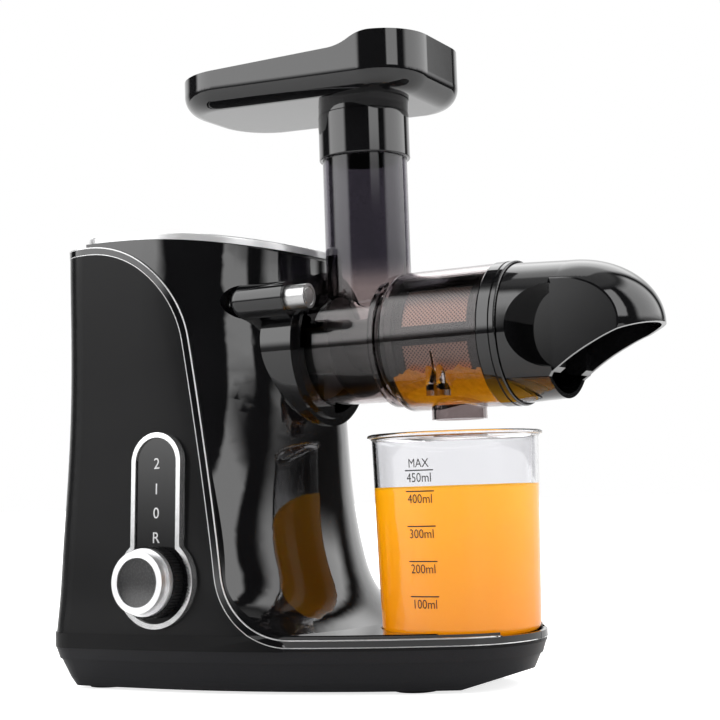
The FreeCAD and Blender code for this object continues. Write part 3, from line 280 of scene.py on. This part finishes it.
def strainer_metal():
    """Perforated sleeve: rows of small holes, each row set over by half a step."""
    n = Nodes("strainer_metal")
    x, y, z = n.place()
    centre = at(0, 0, AUGER_Z)
    around = n.math("ARCTAN2", n.math("SUBTRACT", y, centre.y), n.math("SUBTRACT", z, centre.z))
    step = 0.0021
    u = n.math("DIVIDE", x, step)
    v = n.math("MULTIPLY", around, 0.030 / step)
    a = n.math("COSINE", n.math("MULTIPLY", n.math("ADD", u, v), math.pi))
    b = n.math("COSINE", n.math("MULTIPLY", n.math("SUBTRACT", u, v), math.pi))
    dots = n.math("MULTIPLY", n.math("MULTIPLY", a, a), n.math("MULTIPLY", b, b))
    hole = n.ramp(dots, 0.0, 1.0, 0.25, 0.45)
    n.colour(n.blend(hole, (0.88, 0.60, 0.46), (0.05, 0.03, 0.03)))
    n.link(n.ramp(hole, 0.9, 0.0), n.shader.inputs["Metallic"])
    n.rough(n.ramp(n.noise(700.0, 2.0), 0.25, 0.4))
    n.bump(n.ramp(hole, 1.0, 0.0), 0.0002, 0.6)
    return n.material


def steel(name="fine_steel", tone=0.6, rough=0.28):
    n = Nodes(name)
    grain = n.noise(700.0, 3.0, 0.6, (1, 8, 8))
    n.colour(n.blend(grain, (tone * 0.85,) * 3, (tone,) * 3))
    n.rough(n.ramp(grain, rough * 0.8, rough * 1.3))
    n.bump(grain, 0.00002, 0.4)
    return n.set(Metallic=1.0).material


def brass():
    n = Nodes("machined_brass")
    grain = n.noise(800.0, 3.0)
    n.colour(n.blend(grain, (0.62, 0.42, 0.16), (0.78, 0.58, 0.27)))
    n.rough(n.ramp(grain, 0.22, 0.36))
    return n.set(Metallic=1.0).material


def moulded(name, low, high, rough=(0.4, 0.55)):
    n = Nodes(name)
    grain = n.noise(900.0, 3.0)
    n.colour(n.blend(grain, low, high))
    n.rough(n.ramp(grain, *rough))
    n.bump(grain, 0.00004, 0.4)
    return n.material


def printed(name, low, high):
    n = Nodes(name)
    n.colour(n.blend(n.noise(600.0, 2.0), low, high))
    n.rough(n.ramp(n.noise(900.0, 2.0), 0.35, 0.5))
    return n.material


LOOKS = {
    "satin": satin_black(),
    "gloss": gloss_black(),
    "nose": gloss_black("nose_black", (0.005, 0.005, 0.0055)),
    "pan": pan_grey(),
    "chrome": chrome(),
    "rim": chrome("rim_silver", 0.92, 0.3, 0.6),
    "stripe": chrome("stripe_silver", 0.8, 0.3),
    "silver": turned_silver(),
    "rubber": rubber(),
    "seal": rubber("silicone_grey", (0.05, 0.05, 0.05)),
    "cup": clear_cup(),
    "smoked": smoked(),
    "juice": juice(),
    "amber": amber_film(),
    "strainer": strainer_metal(),
    "steel": steel(),
    "brass": brass(),
    "cap": moulded("cap_graphite", (0.018, 0.018, 0.019), (0.03, 0.03, 0.031), (0.22, 0.32)),
    "auger": moulded("auger_black", (0.008, 0.008, 0.009), (0.016, 0.016, 0.017), (0.3, 0.42)),
    "nylon": moulded("gear_nylon", (0.62, 0.6, 0.52), (0.74, 0.72, 0.64)),
    "case": moulded("case_grey", (0.05, 0.05, 0.053), (0.085, 0.085, 0.088)),
    "board": moulded("board_green", (0.01, 0.06, 0.02), (0.015, 0.09, 0.03)),
    "ink_black": printed("ink_black", (0.006, 0.006, 0.006), (0.012, 0.012, 0.012)),
    "ink_white": printed("ink_white", (0.72, 0.72, 0.73), (0.8, 0.8, 0.8)),
}

NODE_LOOKS = {
    "satin": ("front_shell", "rear_shell", "knob_skirt", "top_cover"),
    "gloss": ("front_trim", "rear_trim", "core_housing", "control_plate", "socket_ring", "button_housing"),
    "nose": ("nose", "lock_ring", "hopper_tray", "tube_collar"),
    "pan": ("base_pan",),
    "chrome": ("control_bezel",),
    "rim": ("top_trim_ring",),
    "silver": ("knob_ring",),
    "steel": ("release_button", "base_screws", "lock_pin", "button_spring", "gearbox_screws", "motor_can",
              "output_shaft", "front_bearing", "rear_bearing", "gear_axles", "motor_armature",
              "motor_shaft"),
    "rubber": ("rubber_feet", "cable_gland"),
    "seal": ("drum_gasket", "auger_seal", "shaft_seal"),
    "cup": ("juice_cup",),
    "smoked": ("juice_housing",),
    "strainer": ("strainer_mesh",),
    "cap": ("knob_cap",),
    "auger": ("auger", "strainer_frame"),
    "nylon": ("first_gear", "second_gear", "output_gear"),
    "brass": ("motor_pinion", "motor_commutator", "motor_bush", "switch_shaft"),
    "case": ("switch_body", "gearbox_case", "gearbox_cover", "motor_end_cap", "motor_magnets"),
    "board": ("circuit_board",),
}


def dress_nodes():
    for look, names in NODE_LOOKS.items():
        for name in names:
            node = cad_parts[name]
            if not node.material_slots:
                node.data.materials.append(LOOKS[look])
            for slot in node.material_slots:
                slot.material = LOOKS[look]


# Mesh helpers

def mesh_piece(name, verts, faces, look, body, smooth=True):
    mesh = bpy.data.meshes.new(name)
    mesh.from_pydata([tuple(v) for v in verts], [], faces)
    mesh.validate()
    bm = bmesh.new()
    bm.from_mesh(mesh)
    bmesh.ops.remove_doubles(bm, verts=bm.verts, dist=1e-7)
    bmesh.ops.recalc_face_normals(bm, faces=bm.faces)
    bm.to_mesh(mesh)
    bm.free()
    for face in mesh.polygons:
        face.use_smooth = smooth
    piece = bpy.data.objects.new(name, mesh)
    bpy.context.scene.collection.objects.link(piece)
    mesh.materials.append(LOOKS[look])
    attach(piece, body)
    return piece


def turned(profile, count=96):
    """A surface of revolution about the cup's axis from (radius, height) points."""
    verts = []
    faces = []
    for i in range(count):
        a = math.tau * i / count
        for r, z in profile:
            verts.append(at(r * math.cos(a), r * math.sin(a), z))
    size = len(profile)
    for i in range(count):
        j = (i + 1) % count
        for k in range(size - 1):
            faces.append((i * size + k, j * size + k, j * size + k + 1, i * size + k + 1))
    return verts, faces


def tube(path, radius, count=8):
    """A round bead along a path of points in metres."""
    verts = []
    faces = []
    for i, point in enumerate(path):
        before = path[max(i - 1, 0)]
        after = path[min(i + 1, len(path) - 1)]
        along = (after - before).normalized()
        side = along.orthogonal().normalized()
        if i:
            side = (last - along * last.dot(along)).normalized()
        last = side
        other = along.cross(side)
        for k in range(count):
            a = math.tau * k / count
            verts.append(point + side * (radius * math.cos(a)) + other * (radius * math.sin(a)))
    for i in range(len(path) - 1):
        for k in range(count):
            m = (k + 1) % count
            faces.append((i * count + k, i * count + m, (i + 1) * count + m, (i + 1) * count + k))
    return verts, faces


# Juice

def cup_juice():
    skin = 0.3
    floor = CUP_FOOT_Z + skin
    profile = [(0.0, floor)]
    for k in range(5):
        a = math.pi / 2.0 * k / 4.0
        bend = 4.0 - skin
        profile.append((CUP_FOOT_R - 4.0 + bend * math.sin(a), floor + bend * (1.0 - math.cos(a))))
    for k in range(9):
        z = floor + 5.0 + (JUICE_Z - 1.0 - floor - 5.0) * k / 8.0
        profile.append((cup_outer(z) - skin, z))
    edge = cup_outer(JUICE_Z) - skin
    profile += [(edge, JUICE_Z + 0.6), (edge - 0.7, JUICE_Z + 0.1), (edge - 2.0, JUICE_Z - 0.1)]
    profile.append((0.0, JUICE_Z - 0.1))
    verts, faces = turned(profile)
    return mesh_piece("cup_juice", verts, faces, "juice", "cup")


def drum_juice():
    """Juice lying in the bottom of the drum, between the strainer and the wall."""
    verts = []
    faces = []
    across, along = 40, 24
    for shell in (DRUM_BORE - 0.15, FILM_INNER_R):
        for i in range(along + 1):
            x = FILM_START_X + FILM_LENGTH * i / along
            for k in range(across + 1):
                share = 2.0 * k / across - 1.0
                reach = math.radians(57.0 + 2.5 * math.sin(0.45 * x) + 1.5 * math.sin(1.1 * x + 2.0))
                a = share * reach
                verts.append(at(x, shell * math.sin(a), AUGER_Z - shell * math.cos(a)))
    row = across + 1
    layer = row * (along + 1)
    for i in range(along):
        for k in range(across):
            q = (i * row + k, i * row + k + 1, (i + 1) * row + k + 1, (i + 1) * row + k)
            faces.append(q)
            faces.append(tuple(layer + j for j in reversed(q)))
    rim = [i * row for i in range(along + 1)] + [along * row + k for k in range(1, row)]
    rim += [i * row + across for i in range(along - 1, -1, -1)] + list(range(across - 1, 0, -1))
    for j, first in enumerate(rim):
        second = rim[(j + 1) % len(rim)]
        faces.append((first, second, layer + second, layer + first))
    return mesh_piece("drum_juice", verts, faces, "amber", "drum")


def build_juice():
    cup_juice()
    drum_juice()


# Lettering

def text_mesh(text, size, depth):
    """The letters as vertices and faces in the plane Z = 0, centred on the origin."""
    curve = bpy.data.curves.new("letters", "FONT")
    curve.body = text
    curve.size = size
    curve.extrude = depth / 2.0
    curve.align_x = "CENTER"
    curve.align_y = "CENTER"
    curve.resolution_u = 3
    holder = bpy.data.objects.new("letters", curve)
    bpy.context.scene.collection.objects.link(holder)
    mesh = bpy.data.meshes.new_from_object(holder.evaluated_get(bpy.context.evaluated_depsgraph_get()))
    verts = [v.co.copy() for v in mesh.vertices]
    faces = [tuple(f.vertices) for f in mesh.polygons]
    bpy.data.objects.remove(holder)
    bpy.data.curves.remove(curve)
    bpy.data.meshes.remove(mesh)
    return verts, faces


def on_panel(u, v, w):
    """A place on the control panel: along, up, and out from it, from the knob's axis."""
    return at(PANEL.x + u, PANEL.y - w * math.cos(PANEL_TILT) + v * math.sin(PANEL_TILT),
              PANEL.z + v * math.cos(PANEL_TILT) + w * math.sin(PANEL_TILT))


LABEL_LIFT = 1.27        # the plate's face lies this far out from the panel's plane
LABELS = (("two", "2", 61.2), ("one", "1", 47.9), ("off", "0", 35.4), ("reverse", "R", 22.6))


def panel_labels():
    """The positions of the knob: each label's name, text and height above the knob's axis."""
    for name, text, up in LABELS:
        verts, faces = text_mesh(text, 8.2, 0.1)
        places = [on_panel(v.x, v.y + up, v.z + LABEL_LIFT) for v in verts]
        mesh_piece("label_" + name, places, faces, "ink_white", "stand", False)


def cup_outer(z):
    share = (z - CUP_FOOT_Z - 4.0) / (CUP_TOP_Z - 3.4 - CUP_FOOT_Z - 4.0)
    return CUP_FOOT_R + share * (CUP_WALL_R - CUP_FOOT_R)


def on_cup(u, z, out):
    """A place on the cup's wall: u is measured round it from the middle of the scale."""
    r = cup_outer(z) + out
    a = math.radians(-90.0) + u / cup_outer(z)
    return at(r * math.cos(a), r * math.sin(a), z)


def cup_scale():
    verts = []
    faces = []

    def add(points, polygons):
        start = len(verts)
        verts.extend(points)
        faces.extend(tuple(start + i for i in f) for f in polygons)

    def bar(z, half, thick):
        for k in range(12):
            u0 = -half + 2.0 * half * k / 12
            u1 = -half + 2.0 * half * (k + 1) / 12
            corners = ((u0, z), (u1, z), (u1, z + thick), (u0, z + thick))
            add([on_cup(u, v, 0.06) for u, v in corners], [(0, 1, 2, 3)])

    def word(text, z, size):
        letters, polygons = text_mesh(text, size, 0.04)
        add([on_cup(v.x * 0.86, z + v.y, 0.06 + v.z) for v in letters], polygons)

    for step, text in enumerate(("400ml", "300ml", "200ml", "100ml")):
        z = JUICE_Z - 1.9 - ML_STEP * step
        bar(z, 7.9, 0.62)
        word(text, z - 3.6, 6.5)
    top = JUICE_Z - 1.9 + 0.6 * ML_STEP
    bar(top, 7.9, 0.62)
    word("450ml", top - 3.5, 6.5)
    word("MAX", top + 3.7, 6.2)
    mesh_piece("cup_scale", verts, faces, "ink_black", "cup", False)


# Trim lines along the edge between the shells and the core: a silver pinstripe, and a silver bead that is a
# painted highlight on the shells' edge

SWOOSH_TOP = (-187.0, 234.5)
SWOOSH_R1 = 62.0
SWOOSH_LEAN = math.radians(9.8)
SWOOSH_R2 = 43.0
SWOOSH_BASE_Z = 24.2
STRIP_W = 4.2


def swoosh(d):
    """Side view of the shell edge moved d towards the core, from the rear top to the base."""
    cx = SWOOSH_TOP[0]
    cz = SWOOSH_TOP[1] - SWOOSH_R1
    turn = math.pi / 2.0 - SWOOSH_LEAN
    points = []
    for k in range(29):
        a = turn * k / 28.0
        points.append((cx + (SWOOSH_R1 + d) * math.sin(a), cz + (SWOOSH_R1 + d) * math.cos(a)))
    low_z = SWOOSH_BASE_Z + SWOOSH_R2
    high = (cx + SWOOSH_R1 * math.cos(SWOOSH_LEAN), cz + SWOOSH_R1 * math.sin(SWOOSH_LEAN))
    run = (high[1] - (low_z - SWOOSH_R2 * math.sin(SWOOSH_LEAN))) / math.cos(SWOOSH_LEAN)
    low_x = high[0] + run * math.sin(SWOOSH_LEAN) + SWOOSH_R2 * math.cos(SWOOSH_LEAN)
    arc = []
    for k in range(19):
        a = SWOOSH_LEAN + turn * k / 18.0
        arc.append((low_x - (SWOOSH_R2 - d) * math.cos(a), low_z - (SWOOSH_R2 - d) * math.sin(a)))
    start, end = points[-1], arc[0]
    span_x = end[0] - start[0]
    span_z = end[1] - start[1]
    for k in range(1, 30):
        points.append((start[0] + span_x * k / 30.0, start[1] + span_z * k / 30.0))
    points += arc
    for k in range(1, 9):
        points.append((arc[-1][0] + (-14.0 - arc[-1][0]) * k / 8.0, SWOOSH_BASE_Z + d))
    return points


def body_surface():
    """The outside of the motor body, for laying lines on it."""
    verts = []
    faces = []
    for name in ("front_shell", "rear_shell", "front_trim", "rear_trim", "core_housing", "base_pan"):
        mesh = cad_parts[name].data
        start = len(verts)
        verts.extend(v.co.copy() for v in mesh.vertices)
        faces.extend(tuple(start + i for i in f.vertices) for f in mesh.polygons)
    return BVHTree.FromPolygons(verts, faces)


def lay(surface, start, way, lift):
    """The first point of the surface from start along way, raised by lift."""
    hit = surface.ray_cast(start, way)[0]
    if hit is None:
        return None
    return hit - way * (lift * MM)


def trim_path(surface, d, lift):
    """One closed round of the body: down the near side, round the nose, and back up."""
    near = []
    for x, z in swoosh(d):
        near.append(lay(surface, at(x, -140.0, z), Vector((0, 1, 0)), lift))
    nose = []
    z = SWOOSH_BASE_Z + d
    for k in range(1, 30):
        a = math.radians(-90.0 + 180.0 * k / 30.0)
        way = Vector((-math.cos(a), -math.sin(a), 0))
        nose.append(lay(surface, at(-14.0 + 120.0 * math.cos(a), 120.0 * math.sin(a), z), way, lift))
    far = []
    for x, z in reversed(swoosh(d)):
        far.append(lay(surface, at(x, 140.0, z), Vector((0, -1, 0)), lift))
    rear = []
    z = SWOOSH_TOP[1] + d
    for k in range(1, 40):
        a = math.radians(90.0 + 180.0 * k / 40.0)
        way = Vector((-math.cos(a), -math.sin(a), 0))
        start = at(SWOOSH_TOP[0] + 120.0 * math.cos(a), 120.0 * math.sin(a), z)
        rear.append(lay(surface, start, way, lift))
    return [p for p in near + nose + far + rear if p is not None]


def trim_lines():
    surface = body_surface()
    # the second bead is a painted highlight: a thin silver line where the shells' rounded edge catches the
    # light
    for name, d, lift, radius, look in (("pinstripe", STRIP_W - 0.35, 0.0, 0.42, "stripe"),
                                        ("edge_highlight_bead", 0.15, -0.05, 0.26, "stripe")):
        path = trim_path(surface, d, lift)
        path.append(path[0])
        verts, faces = tube(path, radius * MM)
        mesh_piece(name, verts, faces, look, "stand")


# Lights, floor and camera

ROOM_LIGHT = 0.03
SOFT_BOXES = (
    # from and to azimuth, from and to elevation, edge, all in degrees, and brightness
    (-160.0, -111.0, 7.0, 60.0, 5.0, 3.2),
    (-150.0, -116.0, -25.0, 6.0, 5.0, 0.22),
    (-48.0, -24.0, 12.0, 60.0, 2.0, 2.8),
    (-6.0, 62.0, 8.0, 60.0, 6.0, 2.6),
    (-190.0, 190.0, 66.0, 95.0, 6.0, 0.4),
    (78.0, 168.0, -30.0, 90.0, 8.0, 1.0),
    (78.0, 168.0, 32.0, 62.0, 8.0, 1.6),
)


def backdrop():
    """A white sweep behind the object, soft boxes at its sides, and a dark room elsewhere."""
    world = bpy.data.worlds.new("studio")
    world.use_nodes = True
    bpy.context.scene.world = world
    g = Graph(world.node_tree)
    split = g.tree.nodes.new("ShaderNodeSeparateXYZ")
    g.link(g.coords.outputs["Generated"], split.inputs[0])
    x, y, z = split.outputs
    around = g.math("MULTIPLY", g.math("ARCTAN2", y, x), math.degrees(1.0))
    up = g.math("MULTIPLY", g.math("ARCSINE", z), math.degrees(1.0))
    light = None
    for start, end, low, high, edge, strength in SOFT_BOXES:
        shape = g.math("MULTIPLY", g.window(around, start, end, edge), g.window(up, low, high, edge))
        light = g.math("MULTIPLY_ADD", shape, strength, light if light else ROOM_LIGHT)
    path = g.tree.nodes.new("ShaderNodeLightPath")
    ground = g.tree.nodes["Background"]
    ground.inputs["Color"].default_value = (1, 1, 1, 1)
    g.link(pick_white(g, path, light), ground.inputs["Strength"])


def pick_white(g, path, light):
    """Plain white where the camera looks past the object, and the light for every other ray."""
    node = g.tree.nodes.new("ShaderNodeMix")
    node.data_type = "FLOAT"
    g.link(path.outputs["Is Camera Ray"], node.inputs[0])
    g.link(light, node.inputs[2])
    node.inputs[3].default_value = 1.0
    return node.outputs[0]


def floor():
    verts = [(-6, -6, 0), (6, -6, 0), (6, 6, 0), (-6, 6, 0)]
    mesh = bpy.data.meshes.new("floor")
    mesh.from_pydata(verts, [], [(0, 1, 2, 3)])
    piece = bpy.data.objects.new("floor", mesh)
    piece.location = (0, 0, -0.0002)
    bpy.context.scene.collection.objects.link(piece)
    n = Nodes("floor_white")
    grain = n.noise(3.0, 2.0)
    n.colour(n.blend(grain, (0.78, 0.78, 0.78), (0.8, 0.8, 0.8)))
    n.rough(n.ramp(grain, 0.55, 0.6))
    glow = n.tree.nodes.new("ShaderNodeEmission")
    glow.inputs["Strength"].default_value = 0.78
    both = n.tree.nodes.new("ShaderNodeAddShader")
    n.link(n.shader.outputs[0], both.inputs[0])
    n.link(glow.outputs[0], both.inputs[1])
    pick = n.tree.nodes.new("ShaderNodeMixShader")
    path = n.tree.nodes.new("ShaderNodeLightPath")
    n.link(path.outputs["Is Camera Ray"], pick.inputs[0])
    n.link(n.shader.outputs[0], pick.inputs[1])
    n.link(both.outputs[0], pick.inputs[2])
    n.link(pick.outputs[0], n.tree.nodes["Material Output"].inputs["Surface"])
    mesh.materials.append(n.material)


EYE = (339.28, -707.20, 104.99)
EYE_ANGLES = (29.129, -4.685, -1.969)   # azimuth, pitch and roll in degrees


def camera():
    """Where the photograph was taken from: low, from the near right, turned a little."""
    azimuth, pitch, roll = (math.radians(a) for a in EYE_ANGLES)
    level = math.cos(pitch)
    back = Vector((math.sin(azimuth) * level, -math.cos(azimuth) * level, math.sin(pitch)))
    right = Vector((math.cos(azimuth), math.sin(azimuth), 0))
    up = back.cross(right)
    side = right * math.cos(roll) + up * math.sin(roll)
    top = up * math.cos(roll) - right * math.sin(roll)
    data = bpy.data.cameras.new("camera")
    data.sensor_width = 36.0
    data.lens = 75.0
    data.clip_end = 20.0
    eye = bpy.data.objects.new("camera", data)
    turn = Matrix((side, top, back)).transposed().to_4x4()
    eye.matrix_world = Matrix.Translation(at(*EYE)) @ turn
    bpy.context.scene.collection.objects.link(eye)
    bpy.context.scene.camera = eye


dress_nodes()
build_juice()
panel_labels()
cup_scale()
trim_lines()
backdrop()
floor()
camera()
bpy.context.scene.view_settings.view_transform = "Standard"
